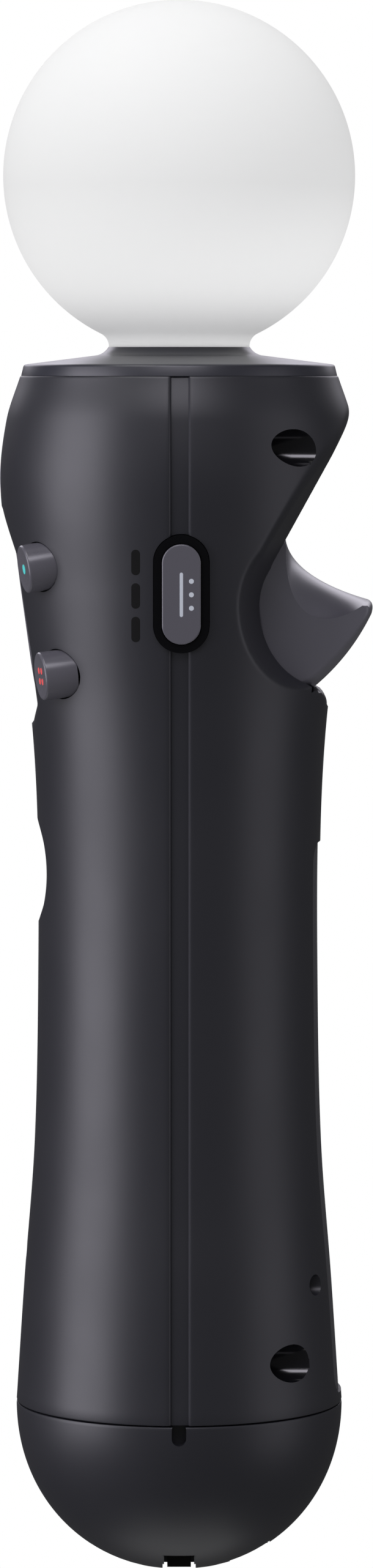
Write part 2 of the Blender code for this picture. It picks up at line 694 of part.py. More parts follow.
def make_trigger():
    y, z = TRIGGER_PIVOT
    place = at(0, y, z)
    outline = shifted(trigger_outline(), -y, -z)
    half = TRIGGER_HALF_WIDTH
    trigger = slab("trigger", outline, -half, half, SIDE_VIEW, PARTS, place)
    half = SPRING_HALF_WIDTH
    combine(trigger, box("spring_slot", (-half, -3.2, -3.2), (half, 2.3, 3.2), CUTTERS, place))
    reach = TRIGGER_HALF_WIDTH + 2
    hole = rod("hub_hole", PIN_RADIUS + 0.3, (-reach, 0, 0), (reach, 0, 0), CUTTERS, place, 16)
    combine(trigger, hole)
    finish_look(trigger, KEY_GREY, 0.4)
    half = PIN_HALF_LENGTH
    pin = rod("trigger_pin", PIN_RADIUS, (-half, 0, 0), (half, 0, 0), PARTS, place, 16)
    finish_look(pin, (0.6, 0.6, 0.6), 0.25, 1.0)
    sensor = box("trigger_sensor", (-5, 4.6, 113), (5, 6.4, 123.5))
    round_edges(sensor, 0.3)
    finish_look(sensor, (0.02, 0.02, 0.02), 0.5)


def make_trigger_spring():
    """A torsion spring round the pin: four turns and two legs."""
    y, z = TRIGGER_PIVOT
    steps, step, radius, wire, pitch = 42, 36, 1.85, 0.28, 1.0
    start = -steps / 20 * pitch
    points = [(start, -2.9, 2.55)]
    for i in range(steps + 1):
        angle = math.radians(200 + step * i)
        points.append((start + pitch * i / 10, radius * math.cos(angle), radius * math.sin(angle)))
    points.append((-start, 1.9, -1.9))
    curve = bpy.data.curves.new("trigger_spring", "CURVE")
    curve.dimensions = "3D"
    curve.bevel_depth = wire * MM
    curve.bevel_resolution = 2
    curve.use_fill_caps = True
    spline = curve.splines.new("POLY")
    spline.points.add(len(points) - 1)
    for point, place in zip(spline.points, points):
        point.co = (*(v * MM for v in place), 1)
    spring = bpy.data.objects.new("trigger_spring", curve)
    spring.location = Vector((0, y, z)) * MM
    PARTS.objects.link(spring)
    material = bpy.data.materials.new("trigger_spring_material")
    material.use_nodes = True
    material.node_tree.nodes["Principled BSDF"].inputs["Metallic"].default_value = 1.0
    curve.materials.append(material)


# ---------------------------------------------------------------- inside


def make_boards():
    board_green = (0.02, 0.12, 0.05)
    board = box("main_board", (-11, -6.5, 44), (11, -5.3, 108))
    finish_look(board, board_green, 0.5)
    board = box("button_board", (-12, -10.2, 109.5), (12, -9.2, 132.5))
    finish_look(board, board_green, 0.5)
    outline = shifted(rounded(23, 22, 3), 0, 121)
    membrane = slab("button_membrane", outline, 10.5, 11.3, FRONT_VIEW)
    finish_look(membrane, (0.12, 0.12, 0.12), 0.7)
    switch = box("home_switch", (-3, -10.9, HOME_Z - 3), (3, -6.85, HOME_Z + 3))
    finish_look(switch, (0.3, 0.3, 0.32), 0.4, 0.6)
    board = rod("port_board", 14.5, (0, 0, 12.35), (0, 0, 13.35), facets=40)
    finish_look(board, board_green, 0.5)
    light = turned("status_light", button_profile(STATUS_RADIUS, 0.1, 3.2), PARTS,
                   at(0, -19.45, STATUS_Z, FACING_FRONT), steps=16)
    finish_look(light, (0.3, 0.02, 0.02), 0.2)


def make_battery():
    cell = box("battery", (-11.5, -0.5, 40), (11.5, 9.5, 88.2))
    round_edges(cell, 2.0, 3)
    finish_look(cell, (0.05, 0.07, 0.14), 0.4)
    cradle = box("battery_cradle", (-12.9, -2.0, 38.2), (12.9, 6.0, 89.9))
    combine(cradle, box("cell_room", (-11.85, -0.85, 39.6), (11.85, 20, 88.6), CUTTERS))
    finish_look(cradle, (0.03, 0.03, 0.03), 0.6)


def make_rumble():
    motor = rod("rumble_motor", 4.0, (0, RUMBLE_Y, 92.5), (0, RUMBLE_Y, 104.8), facets=32)
    shaft = rod("shaft", 0.5, (0, RUMBLE_Y, 104), (0, RUMBLE_Y, 109), CUTTERS, facets=12)
    combine(motor, shaft, "UNION")
    finish_look(motor, (0.5, 0.5, 0.5), 0.3, 1.0)
    outline = arc((0, 0), 4.4, 0, 180, 16) + arc((0, 0), 1.5, 180, 360, 8)
    weight = slab("rumble_weight", outline, 105.4, 109.2, TOP_VIEW, PARTS, at(0, RUMBLE_Y, 0))
    combine(weight, rod("weight_bore", 0.85, (0, RUMBLE_Y, 100), (0, RUMBLE_Y, 112), CUTTERS, facets=16))
    finish_look(weight, (0.45, 0.42, 0.36), 0.35, 1.0)


def make_ports():
    for name, (low, high), foot in (
        ("usb_port", USB_HOLE, 3.4),
        ("extension_port", EXTENSION_HOLE, 3.6),
    ):
        outer_low = [v + GAP for v in low]
        outer_high = [v - GAP for v in high]
        shell = box(name, (*outer_low, foot), (*outer_high, 12.0))
        inner_low = [v + 0.5 for v in outer_low]
        inner_high = [v - 0.5 for v in outer_high]
        combine(shell, box("port_room", (*inner_low, 0), (*inner_high, 10.6), CUTTERS))
        finish_look(shell, (0.6, 0.6, 0.62), 0.3, 1.0)
    for side, hand in ((-1, "left"), (1, "right")):
        low, high = sorted((side * (POCKET_IN + 0.4), side * (POCKET_IN + 1.2)))
        contact = box(f"charge_contact_{hand}", (low, -1.5, 1.2), (high, 1.5, 2.9))
        finish_look(contact, (0.75, 0.6, 0.3), 0.25, 1.0)


# ---------------------------------------------------------------- assembly


def make_controller():
    cavity = case_cavity()
    shared = screw_holes() + side_openings()
    make_front_case(cavity, shared)
    make_rear_case(cavity, shared)
    make_rear_label_plate()
    make_end_cap()
    make_screws()
    make_light_sphere()
    make_collar()
    make_light_engine()
    make_action_buttons()
    make_middle_buttons()
    make_side_buttons()
    make_reset()
    make_trigger()
    make_trigger_spring()
    make_boards()
    make_battery()
    make_rumble()
    make_ports()


make_controller()
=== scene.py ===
"""Looks of the motion controller: fine shells, keys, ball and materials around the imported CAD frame.

Lengths are in millimetres in the formulas below and become metres in the mesh helpers. +Z runs up the
wand, the thumb side faces -Y, the trigger faces +Y and the camera looks along -X.
"""

import math

import bmesh
import bpy
import numpy as np
from mathutils import Matrix, Vector


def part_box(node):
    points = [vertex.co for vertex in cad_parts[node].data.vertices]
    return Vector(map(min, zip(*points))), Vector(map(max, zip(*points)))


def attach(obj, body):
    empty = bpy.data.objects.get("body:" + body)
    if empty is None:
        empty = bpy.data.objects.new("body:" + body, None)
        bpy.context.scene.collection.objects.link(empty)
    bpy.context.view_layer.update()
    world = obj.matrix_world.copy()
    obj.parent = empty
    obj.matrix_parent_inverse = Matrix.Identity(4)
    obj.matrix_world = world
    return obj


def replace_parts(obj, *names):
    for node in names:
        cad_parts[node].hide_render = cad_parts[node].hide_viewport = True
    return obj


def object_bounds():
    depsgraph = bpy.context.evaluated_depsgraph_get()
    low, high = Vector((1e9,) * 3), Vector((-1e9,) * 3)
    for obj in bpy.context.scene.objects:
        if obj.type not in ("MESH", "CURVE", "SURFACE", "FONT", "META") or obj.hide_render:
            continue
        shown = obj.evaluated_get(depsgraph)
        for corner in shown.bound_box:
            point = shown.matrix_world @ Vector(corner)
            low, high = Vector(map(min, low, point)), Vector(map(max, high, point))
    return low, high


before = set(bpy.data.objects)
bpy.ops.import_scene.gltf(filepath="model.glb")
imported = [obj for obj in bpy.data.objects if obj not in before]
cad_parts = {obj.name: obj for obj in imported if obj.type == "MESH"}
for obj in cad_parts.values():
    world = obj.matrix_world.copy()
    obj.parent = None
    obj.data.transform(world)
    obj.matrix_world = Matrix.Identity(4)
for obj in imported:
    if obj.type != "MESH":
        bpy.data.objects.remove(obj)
cad_box = [list(corner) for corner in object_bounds()]

MM = 0.001


def centre_mm(node):
    low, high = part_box(node)
    return [(a + b) / 2 / MM for a, b in zip(low, high)]


# ---------------------------------------------------------------- sizes that the frame fixes

TOTAL = cad_box[1][2] / MM
BALL_RADIUS = (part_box("light_sphere")[1][1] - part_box("light_sphere")[0][1]) / 2 / MM
CASE_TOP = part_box("front_case")[1][2] / MM
CASE_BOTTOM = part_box("front_case")[0][2] / MM
CAP_TOP = CASE_BOTTOM - 0.14
SEAM_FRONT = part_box("front_case")[1][1] / MM
TONGUE_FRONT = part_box("rear_case")[0][1] / MM
SEAM_REAR = 1.37
GROOVE_DEPTH = 0.4
SHELL = 2.0

BODY_STATIONS = (
    (151.85, 20.35),
    (146.3, 22.1),
    (138.0, 22.9),
    (125.0, 21.3),
    (110.0, 19.1),
    (95.4, 18.15),
    (75.0, 18.05),
    (54.0, 18.5),
    (36.5, 19.8),
    (21.1, 20.8),
)
CAP_RADIUS = 20.8
CAP_EQUATOR = 20.95
CAP_HEIGHT = 21.3
CAP_POWER = 2.07

PANEL = ((135.2, -22.8), (129.4, -20.7), (110.1, -18.0), (107.5, -18.7))  # z, y
PANEL_FOOT = PANEL[2]  # the thumb panel's long straight face starts here
PANEL_RISE = PANEL[1][0] - PANEL[2][0]
PANEL_LEAN = PANEL[2][1] - PANEL[1][1]
UNDERCUT_FOOT = (13.7, 131.6)
UNDERCUT_TOP = (21.9, 146.45)
SCOOP_CENTRE = (18.95, 122.7)
SCOOP_RADIUS = 8.8
SCOOP_SQUASH = 0.86  # the scoop reaches further down than up
SCOOP_FLARE = 0.24  # how much further in the bay is cut for each millimetre towards the sides
NO_CUT = 60.0  # a face so far out that it cuts nothing
MOUTH_HALF_WIDTH = 9.65
MOUTH_BOTTOM = 110.3
LIP_TOP = 112.0
LIP_EDGE = 109.75  # the lip's rounding starts here
LIP_RADIUS = 2.3
LIP_REACH = 18.95
LIP_BULGE = 0.75  # depth of the rounding over its height

SCREWS = ((17.1, 142.9, 2.36), (14.5, 27.9, 2.37))  # x, z, bore radius
SCREW_LEDGE = 6.0
RESET = (9.6, 37.0, 1.32)  # x, z, bore radius
HOME_Z = 88.8
HOME_RADIUS = 4.58
DISH_RADIUS = 6.4
STATUS_Z = 40.0


# ---------------------------------------------------------------- formulas


def body_radius(height):
    """Radius of the grip at each height: a smooth curve through BODY_STATIONS."""
    height = np.clip(np.asarray(height, float), BODY_STATIONS[-1][0], BODY_STATIONS[0][0])
    z = np.array([s[0] for s in BODY_STATIONS[::-1]])
    r = np.array([s[1] for s in BODY_STATIONS[::-1]])
    slope = np.empty(len(z))
    slope[1:-1] = (r[2:] - r[:-2]) / (z[2:] - z[:-2])
    slope[0] = (r[1] - r[0]) / (z[1] - z[0])
    slope[-1] = (r[-1] - r[-2]) / (z[-1] - z[-2])
    i = np.clip(np.searchsorted(z, height, side="right") - 1, 0, len(z) - 2)
    span = z[i + 1] - z[i]
    t = (height - z[i]) / span
    return (
        (2 * t**3 - 3 * t**2 + 1) * r[i]
        + (t**3 - 2 * t**2 + t) * span * slope[i]
        + (3 * t**2 - 2 * t**3) * r[i + 1]
        + (t**3 - t**2) * span * slope[i + 1]
    )


def cap_radius(height):
    reach = np.clip((CAP_EQUATOR - np.asarray(height, float)) / CAP_HEIGHT, 0, 1)
    return CAP_RADIUS * (1 - reach**CAP_POWER) ** (1 / CAP_POWER)


def smooth_min(a, b, width):
    blend = np.maximum(width - np.abs(a - b), 0) / width
    return np.minimum(a, b) - blend * blend * width / 4


def panel_face(height):
    """How far forward the thumb panel lets the case reach at each height, as a y value."""
    z = [p[0] for p in PANEL[::-1]]
    y = [p[1] for p in PANEL[::-1]]
    face = np.interp(height, z, y)
    return np.where((height > z[-1]) | (height < z[0]), -NO_CUT, face)


def bay_face(across, height):
    """How far back the undercut and the scoop round the trigger let the case reach, as a y value."""
    (y0, z0), (y1, z1) = UNDERCUT_FOOT, UNDERCUT_TOP
    slanted = y0 + (height - z0) * (y1 - y0) / (z1 - z0)
    drop = height - SCOOP_CENTRE[1]
    drop = np.where(drop < 0, drop * SCOOP_SQUASH, drop)
    flare = SCOOP_FLARE * np.maximum(np.abs(across) - MOUTH_HALF_WIDTH, 0)
    reach = SCOOP_RADIUS + flare
    wide = SCOOP_CENTRE[0] - np.sqrt(np.clip(reach**2 - drop**2, 0, None))
    wide = np.where(np.abs(drop) < reach, wide, NO_CUT)
    face = np.where(height > z0 - 4.0, np.minimum(slanted - flare, wide), wide)
    return np.where(height > z1 + 3, NO_CUT, face)


def lip_face(height):
    """The rounded edge of the lip below the trigger, as a y value."""
    rise = np.clip((height - LIP_EDGE) / LIP_RADIUS, 0, 1)
    edge = LIP_REACH - LIP_RADIUS * LIP_BULGE * (1 - np.sqrt(1 - rise**2))
    return np.where((height > LIP_EDGE) & (height < LIP_TOP + 0.6), edge, NO_CUT)


# ---------------------------------------------------------------- mesh helpers


def add_mesh(name, points, faces, sharp=35.0):
    """An object from points in millimetres and faces, smooth except along edges over sharp degrees."""
    mesh = bpy.data.meshes.new(name)
    mesh.from_pydata([tuple(p) for p in np.asarray(points, float) * MM], [], faces)
    mesh.validate()
    shape = bmesh.new()
    shape.from_mesh(mesh)
    bmesh.ops.recalc_face_normals(shape, faces=shape.faces)
    shape.to_mesh(mesh)
    shape.free()
    mesh.shade_smooth()
    mesh.set_sharp_from_angle(angle=math.radians(sharp))
    thing = bpy.data.objects.new(name, mesh)
    bpy.context.scene.collection.objects.link(thing)
    return thing


def grid_faces(rows, columns, closed, offset=0, flip=False):
    """Quads between neighbouring rows and columns of a grid whose points run along the rows."""
    faces = []
    for i in range(rows - 1):
        for j in range(columns if closed else columns - 1):
            k = (j + 1) % columns
            quad = (i * columns + j, i * columns + k, (i + 1) * columns + k, (i + 1) * columns + j)
            quad = tuple(offset + q for q in quad)
            faces.append(quad[::-1] if flip else quad)
    return faces


def closed_sheet(name, outer, inner, sharp=35.0):
    """A shell between two grids of points (rows, columns, 3) that share their layout."""
    rows, columns = outer.shape[:2]
    count = rows * columns
    points = np.concatenate([outer.reshape(-1, 3), inner.reshape(-1, 3)])
    faces = grid_faces(rows, columns, False) + grid_faces(rows, columns, False, count, True)
    for i in range(rows - 1):
        for j in (0, columns - 1):
            a, b = i * columns + j, (i + 1) * columns + j
            faces.append((a, b, b + count, a + count))
    for j in range(columns - 1):
        for i in (0, rows - 1):
            a, b = i * columns + j, i * columns + j + 1
            faces.append((a, b, b + count, a + count))
    return add_mesh(name, points, faces, sharp)


def turned(name, profile, steps=160, place=None, sharp=35.0, ring=False):
    """A profile of (radius, height) points turned about Z, closed on the axis or as a ring."""
    profile = np.asarray(profile, float)
    angles = np.linspace(0, 2 * np.pi, steps, endpoint=False)
    points, index = [], []
    for radius, height in profile:
        if radius < 1e-6:
            index.append([len(points)] * steps)
            points.append((0, 0, height))
        else:
            index.append(list(range(len(points), len(points) + steps)))
            points += [(radius * math.cos(a), radius * math.sin(a), height) for a in angles]
    faces = []
    rows = list(range(len(profile)))
    pairs = list(zip(rows, rows[1:])) + ([(rows[-1], rows[0])] if ring else [])
    for a, b in pairs:
        for j in range(steps):
            k = (j + 1) % steps
            corners = [index[a][j], index[b][j], index[b][k], index[a][k]]
            corners = list(dict.fromkeys(corners))
            if len(corners) > 2:
                faces.append(corners)
    thing = add_mesh(name, points, faces, sharp)
    if place is not None:
        thing.data.transform(place)
    return thing


def prism(name, outline, low, high, place=None, sharp=35.0):
    """A flat outline of (u, v) points made solid from low to high along w."""
    count = len(outline)
    points = [(u, v, low) for u, v in outline] + [(u, v, high) for u, v in outline]
    faces = [tuple(range(count))[::-1], tuple(range(count, 2 * count))]
    faces += [(i, (i + 1) % count, (i + 1) % count + count, i + count) for i in range(count)]
    thing = add_mesh(name, points, faces, sharp)
    if place is not None:
        thing.data.transform(place)
    return thing


def place_at(x, y, z, turn=None):
    place = Matrix.Translation(Vector((x, y, z)) * MM)
    return place @ turn.to_4x4() if turn is not None else place


SIDE_VIEW = Matrix(((0, 0, 1), (1, 0, 0), (0, 1, 0)))  # u -> Y, v -> Z, w -> X
FRONT_VIEW = Matrix(((1, 0, 0), (0, 0, -1), (0, 1, 0)))  # u -> X, v -> Z, w -> -Y
FACING_FRONT = Matrix.Rotation(math.radians(90), 3, "X")
FACING_REAR = Matrix.Rotation(math.radians(-90), 3, "X")


def join(name, things):
    """Several meshes made one object."""
    shape = bmesh.new()
    for thing in things:
        shape.from_mesh(thing.data)
        bpy.data.objects.remove(thing, do_unlink=True)
    mesh = bpy.data.meshes.new(name)
    shape.to_mesh(mesh)
    shape.free()
    joined = bpy.data.objects.new(name, mesh)
    bpy.context.scene.collection.objects.link(joined)
    return joined


def boolean(thing, other, operation="DIFFERENCE", solver="EXACT", sharp=35.0):
    """Cuts or joins thing with other, applies the result and removes other."""
    modifier = thing.modifiers.new("boolean", "BOOLEAN")
    modifier.operation = operation
    modifier.solver = solver
    modifier.object = other
    bpy.context.view_layer.update()
    seen = thing.evaluated_get(bpy.context.evaluated_depsgraph_get())
    mesh = bpy.data.meshes.new_from_object(seen)
    old = thing.data
    thing.modifiers.clear()
    thing.data = mesh
    bpy.data.meshes.remove(old)
    bpy.data.objects.remove(other, do_unlink=True)
    mesh.shade_smooth()
    mesh.set_sharp_from_angle(angle=math.radians(sharp))
    return thing


def bevel(thing, width, segments=3, angle=35.0):
    modifier = thing.modifiers.new("bevel", "BEVEL")
    modifier.width = width * MM
    modifier.segments = segments
    modifier.limit_method = "ANGLE"
    modifier.angle_limit = math.radians(angle)
    return thing


def arc(centre, radius, start, end, count):
    angles = [math.radians(start + (end - start) * i / count) for i in range(count + 1)]
    return [(centre[0] + radius * math.cos(a), centre[1] + radius * math.sin(a)) for a in angles]


def rounded(width, height, radius, count=10):
    u, v = width / 2 - radius, height / 2 - radius
    corners = ((u, v, 0), (-u, v, 90), (-u, -v, 180), (u, -v, 270))
    return [p for a, b, turn in corners for p in arc((a, b), radius, turn, turn + 90, count)]


def capsule(width, height, count=14):
    return rounded(width, height, width / 2 - 0.005, count)


def shifted(outline, du, dv):
    return [(u + du, v + dv) for u, v in outline]


# ---------------------------------------------------------------- case shells


def spaced(start, stop, step):
    return list(np.linspace(start, stop, max(2, round(abs(stop - start) / step) + 1))[:-1])


def case_rows(fine_top, fine_bottom, fine=0.35, coarse=1.1):
    """Heights down a case half, and how far each is drawn in to round the ends."""
    heights = [CASE_TOP, CASE_TOP - 0.04, CASE_TOP - 0.12, CASE_TOP - 0.3]
    inset = [0.06, 0.02, 0.0, 0.0]
    middle = spaced(CASE_TOP - 0.6, fine_top, 0.6) + spaced(fine_top, fine_bottom, fine)
    middle += spaced(fine_bottom, CASE_BOTTOM + 0.4, coarse)
    heights += middle
    inset += [0.0] * len(middle)
    heights += [CASE_BOTTOM + 0.2, CASE_BOTTOM + 0.06, CASE_BOTTOM]
    inset += [0.0, 0.05, 0.18]
    return np.array(heights), np.array(inset)


def half_directions(heights, edge_offsets, columns):
    """Angles round a half of the case for each height; the edge columns keep a fixed y."""
    radius = body_radius(heights)[:, None]
    edge = np.arcsin(np.array(edge_offsets)[None, :] / radius)
    start = edge[:, -1:]
    t = np.linspace(0, 1, columns + 2)[None, 1:-1]
    middle = start + (np.pi - 2 * start) * t
    return np.concatenate([edge, middle, np.pi - edge[:, ::-1]], axis=1)


def shell_points(heights, angles, radius, sign):
    x = radius * np.cos(angles)
    y = sign * radius * np.sin(angles)
    z = np.broadcast_to(heights[:, None], radius.shape)
    return np.stack([x, y, z], axis=-1)


def edge_inset(insets, columns):
    """The edge columns' insets, mirrored onto the far edge."""
    return np.array(list(insets) + [0.0] * columns + list(insets)[::-1])[None, :]


def make_front_shell():
    """The thumb half. The offsets are distances from the seam plane and the insets round the edge off."""
    offsets = (-SEAM_FRONT, 1.05, 1.15, 1.35, 1.7)
    insets = (0.37, 0.2, 0.09, 0.02, 0.0)
    columns = 150
    heights, inset = case_rows(137.0, 105.0)
    angles = half_directions(heights, offsets, columns)
    radius = body_radius(heights)[:, None] + np.zeros_like(angles)
    reach = np.maximum(np.sin(angles), 0.05)
    radius = smooth_min(radius, -panel_face(heights)[:, None] / reach, 0.5)
    outer = radius - inset[:, None] - edge_inset(insets, columns)
    inner = radius - SHELL
    return closed_sheet(
        "front_shell",
        shell_points(heights, angles, outer, -1),
        shell_points(heights, angles, inner, -1),
    )


def make_rear_shell():
    """The trigger half, with the seam groove and the tongue under it along its edge."""
    tongue = SEAM_FRONT + 0.03
    offsets = (-2.0, tongue - 0.01, tongue, 0.4, 1.2, SEAM_REAR, 1.43, 1.6, 1.9, 2.3)
    insets = (2.2, 2.2, GROOVE_DEPTH, GROOVE_DEPTH, GROOVE_DEPTH, 0.06, 0.03, 0.01, 0.0, 0.0)
    lip_insets = (2.9, 2.9, 2.9, 2.9, 2.5, 2.4, 2.4, 2.4, 2.4, 2.4)
    columns = 190
    heights, inset = case_rows(149.5, 106.0, 0.3)
    angles = half_directions(heights, offsets, columns)
    base = body_radius(heights)[:, None] + np.zeros_like(angles)
    reach = np.maximum(np.sin(angles), 0.02)
    tall = heights[:, None] + np.zeros_like(angles)
    radius = base
    for _ in range(6):
        face = bay_face(radius * np.cos(angles), tall)
        radius = np.minimum(base, face / reach)
    radius = smooth_min(base, face / reach, 1.3)
    radius = smooth_min(radius, lip_face(tall) / reach, 0.4)
    outer = radius - inset[:, None] - edge_inset(insets, columns)
    inner = np.minimum(radius - SHELL, base - GROOVE_DEPTH - SHELL)
    inner = np.minimum(inner, base - edge_inset(lip_insets, columns))
    return closed_sheet(
        "rear_shell",
        shell_points(heights, angles, outer, 1),
        shell_points(heights, angles, inner, 1),
    )


def grip_solid(inset, steps=120, rows=60):
    """The grip's outer form as one solid, drawn in by inset."""
    heights = np.linspace(CASE_TOP, CASE_BOTTOM, rows)
    profile = [(0, CASE_TOP)] + [(body_radius(z) - inset, z) for z in heights] + [(0, CASE_BOTTOM)]
    return turned("grip", profile, steps)


def rod(radius, start, end, steps=48, taper=None):
    start, end = Vector(start), Vector(end)
    turn = Vector((0, 0, 1)).rotation_difference(end - start).to_matrix()
    long = (end - start).length
    profile = [(0, long), (radius, long), (radius if taper is None else taper, 0), (0, 0)]
    return turned("rod", profile, steps, place_at(*start, turn))


# Places that the keys share with their holes
ACTION_X = 13.3
ACTION_RADIUS = 3.05
ACTION_SPLAY = 15.0  # degrees that the columns lean outward
ACTION_KEYS = (("upper", -19.6, 127.55, 9.0), ("lower", -17.5, 114.1, 6.5))  # y of the face, z, tilt
ACTION_DEPTH = {"upper": 5.3, "lower": 4.2}
MOVE_SIZE = (13.0, 19.0)
MOVE_Z = 120.9
PANEL_TILT = math.atan2(PANEL_LEAN, PANEL_RISE)
SIDE_TILT = math.radians(7.9)
SIDE_PLACE = (21.3, 0.3, 124.75)
SIDE_BUTTON = (4.85, 12.65)
SIDE_BEZEL = (6.9, 14.9)
CLEARANCE = 0.16  # between a key or a bezel and its hole


def action_place(side, face, height, tilt):
    lean = Matrix.Rotation(math.radians(side * ACTION_SPLAY), 3, "Z")
    turn = lean @ Matrix.Rotation(math.radians(tilt), 3, "X") @ FACING_FRONT
    return place_at(side * ACTION_X, face, height, turn)


def move_place():
    share = (MOVE_Z - PANEL_FOOT[0]) / PANEL_RISE
    turn = Matrix.Rotation(PANEL_TILT, 3, "X") @ FRONT_VIEW
    return place_at(0, PANEL_FOOT[1] - PANEL_LEAN * share, MOVE_Z, turn)


def side_place(side):
    turn = Matrix.Rotation(SIDE_TILT, 3, "Y") @ SIDE_VIEW
    if side < 0:
        turn = Matrix.Rotation(math.pi, 3, "Z") @ turn
    return place_at(side * SIDE_PLACE[0], SIDE_PLACE[1], SIDE_PLACE[2], turn)


def side_openings():
    width, height = SIDE_BEZEL[0] + CLEARANCE, SIDE_BEZEL[1] + CLEARANCE
    return [prism("opening", capsule(width, height), -6, 6, side_place(side)) for side in (-1, 1)]


def make_front_case():
    case = make_front_shell()
    case = boolean(case, home_boss(), "UNION")
    cutters = side_openings()
    for side in (-1, 1):
        for _, face, height, tilt in ACTION_KEYS:
            hole = rod(ACTION_RADIUS + CLEARANCE, (0, 0, -12), (0, 0, 8), 64)
            hole.data.transform(action_place(side, face, height, tilt))
            cutters.append(hole)
    outline = rounded(MOVE_SIZE[0] + 0.4, MOVE_SIZE[1] + 0.4, 5.7)
    cutters.append(prism("move_hole", outline, -9, 8, move_place()))
    cutters.append(rod(1.2, (0, -30, STATUS_Z), (0, -12, STATUS_Z), 32))
    case = boolean(case, join("cutters", cutters))
    dish = [(0, 30), (DISH_RADIUS + 0.25, 30), (DISH_RADIUS + 0.25, 17.2), (DISH_RADIUS, 16.7)]
    dish += arc((DISH_RADIUS - 1.0, 16.7), 1.0, 0, -80, 8) + [(0, 15.45)]
    case = boolean(case, turned("dish", dish, 120, place_at(0, 0, HOME_Z, FACING_FRONT)))
    case = boolean(case, rod(HOME_RADIUS + 0.17, (0, -30, HOME_Z), (0, -8, HOME_Z), 64))
    case.name = case.data.name = "front_housing"
    return case


def home_boss():
    """Backs the dish round the home button, where the wall alone would be too thin."""
    boss = rod(DISH_RADIUS + 1.2, (0, -13.9, HOME_Z), (0, -25, HOME_Z), 64)
    return boolean(boss, grip_solid(0.5), "INTERSECT")


def make_rear_case():
    case = make_rear_shell()
    for side in (-1, 1):
        for x, z, _ in SCREWS:
            boss = rod(3.4, (side * x, 2.2, z), (side * x, 24, z))
            boss = boolean(boss, grip_solid(0.7), "INTERSECT")
            case = boolean(case, boss, "UNION")
    mouth = [(5, MOUTH_BOTTOM), (14.9, MOUTH_BOTTOM), (15.9, 111.3), (16.6, 111.75), (17.1, LIP_TOP)]
    mouth += [(32, LIP_TOP), (32, 131.5), (5, 131.5)]
    cutters = side_openings()
    case = boolean(case, prism("mouth", mouth, -MOUTH_HALF_WIDTH, MOUTH_HALF_WIDTH, SIDE_CUT))
    for side in (-1, 1):
        for x, z, radius in SCREWS:
            cutters.append(rod(radius, (side * x, SCREW_LEDGE, z), (side * x, 30, z), 64))
    cutters.append(rod(RESET[2], (RESET[0], 8, RESET[1]), (RESET[0], 30, RESET[1]), 48))
    case = boolean(case, join("cutters", cutters))
    low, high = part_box("rear_label_plate")
    width = (high[0] - low[0]) / MM + 0.5
    height = (high[2] - low[2]) / MM + 0.5
    middle = (high[2] + low[2]) / 2 / MM
    recess = prism("recess", shifted(rounded(width, height, 2.6), 0, middle), 5, 34, REAR_CUT)
    recess = boolean(recess, grip_solid(0.7, 160, 80))
    case = boolean(case, recess)
    case.name = case.data.name = "rear_housing"
    return case


SIDE_CUT = place_at(0, 0, 0, SIDE_VIEW)
REAR_CUT = place_at(0, 0, 0, Matrix(((-1, 0, 0), (0, 0, 1), (0, 1, 0))))


def make_rear_label():
    low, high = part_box("rear_label_plate")
    width, height = (high[0] - low[0]) / MM, (high[2] - low[2]) / MM
    middle = (high[2] + low[2]) / 2 / MM
    plate = prism("label", shifted(rounded(width, height, 2.3), 0, middle), 5, 34, REAR_CUT)
    plate = boolean(plate, grip_solid(0.62, 160, 80))
    plate = boolean(plate, grip_solid(0.33, 200, 80), "INTERSECT")
    plate.name = plate.data.name = "rear_label_skin"
    return plate


def make_end_cap():
    """The dome with its spigot, the channel across the bottom, the contacts' pockets and the side slots."""
    rows = 70
    heights = [CAP_TOP * math.cos(math.pi / 2 * i / rows) for i in range(1, rows)] + [0.0]
    edge = [(CAP_RADIUS - 0.2, CAP_TOP), (CAP_RADIUS - 0.07, CAP_TOP - 0.04)]
    edge += [(CAP_RADIUS - 0.02, CAP_TOP - 0.13)]
    outer = [(cap_radius(z), z) for z in heights if z < CAP_TOP - 0.3]
    inner = [(0, 5.0), (11.0, 5.0)] + [(cap_radius(z) - 2.2, z) for z in (6.5, 9, 12, 15, 18)]
    inner += [(16.2, 19.5), (16.2, 22.4), (18.0, 22.4), (18.0, CAP_TOP)]
    cap = turned("end_dome", (inner + edge + outer + [(0, 0)])[::-1], 240)
    half = 2.1
    flare = [(-half, 1.57), (-half, 0.5)] + [(-half - 0.5, 0.0), (-half - 0.8, -1), (half + 0.8, -1)]
    flare += [(half + 0.5, 0.0), (half, 0.5), (half, 1.57)]
    cap = boolean(cap, prism("channel", flare, -30, 30, SIDE_CUT))
    pockets = []
    for side in (-1, 1):
        low, high = sorted((side * 7.5, side * 12.2))
        pockets.append(block((low, -1.9, -2), (high, 1.9, 3.25)))
    cap = boolean(cap, join("pockets", pockets))
    slots = []
    for side in (-1, 1):
        low, high = sorted((side * 18.9, side * 26))
        outline = shifted(rounded(1.8, 2.9, 0.89), 0.0, 20.05)
        slots.append(prism("slot", outline, low, high, SIDE_CUT))
    cap = boolean(cap, join("slots", slots))
    ports = []
    for node in ("usb_port", "extension_port"):
        low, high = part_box(node)
        low, high = [v / MM for v in low], [v / MM for v in high]
        ports.append(block((low[0] - 0.3, low[1] - 0.3, -2), (high[0] + 0.3, high[1] + 0.3, 19)))
    cap = boolean(cap, join("ports", ports))
    cap.name = cap.data.name = "end_dome"
    return cap


def block(low, high):
    outline = [(low[0], low[1]), (high[0], low[1]), (high[0], high[1]), (low[0], high[1])]
    return prism("block", outline, low[2], high[2])


